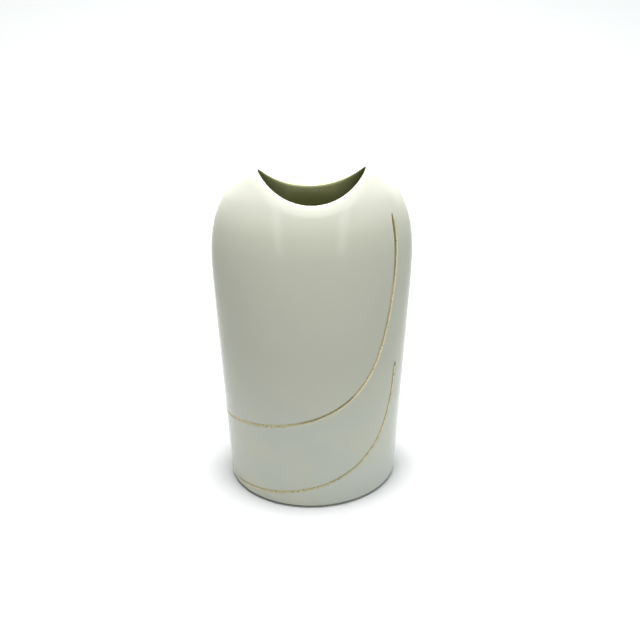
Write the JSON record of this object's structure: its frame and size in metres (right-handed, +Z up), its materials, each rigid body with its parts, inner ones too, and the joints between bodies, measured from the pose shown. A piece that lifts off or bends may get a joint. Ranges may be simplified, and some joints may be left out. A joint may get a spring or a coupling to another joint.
{
  "type": "porcelain vase",
  "caption": "Flattened oval porcelain vase with a scooped mouth, glossy glaze and inlaid gold lines sweeping round its body.",
  "frame": {"origin": "middle of the foot, on the surface that the vase stands on", "axes": "+Z up, X along the vase's width, Y through its depth, with the front that carries both gold lines towards -Y"},
  "size_m": [0.108, 0.076, 0.2082],
  "materials": {
    "bisque": "fired matt porcelain",
    "glaze_outer": "clear gloss glaze over warm white porcelain",
    "glaze_inner": "clear gloss glaze over warm white porcelain",
    "glaze_foot": "clear gloss glaze over warm white porcelain",
    "gold_upper": "bright fired gold",
    "gold_lower": "bright fired gold"
  },
  "bodies": {
    "root": {"porcelain_body": "bisque", "outer_glaze": "glaze_outer", "inner_glaze": "glaze_inner", "foot_glaze": "glaze_foot", "gold_line_upper": "gold_upper", "gold_line_lower": "gold_lower"}
  },
  "joints": []
}
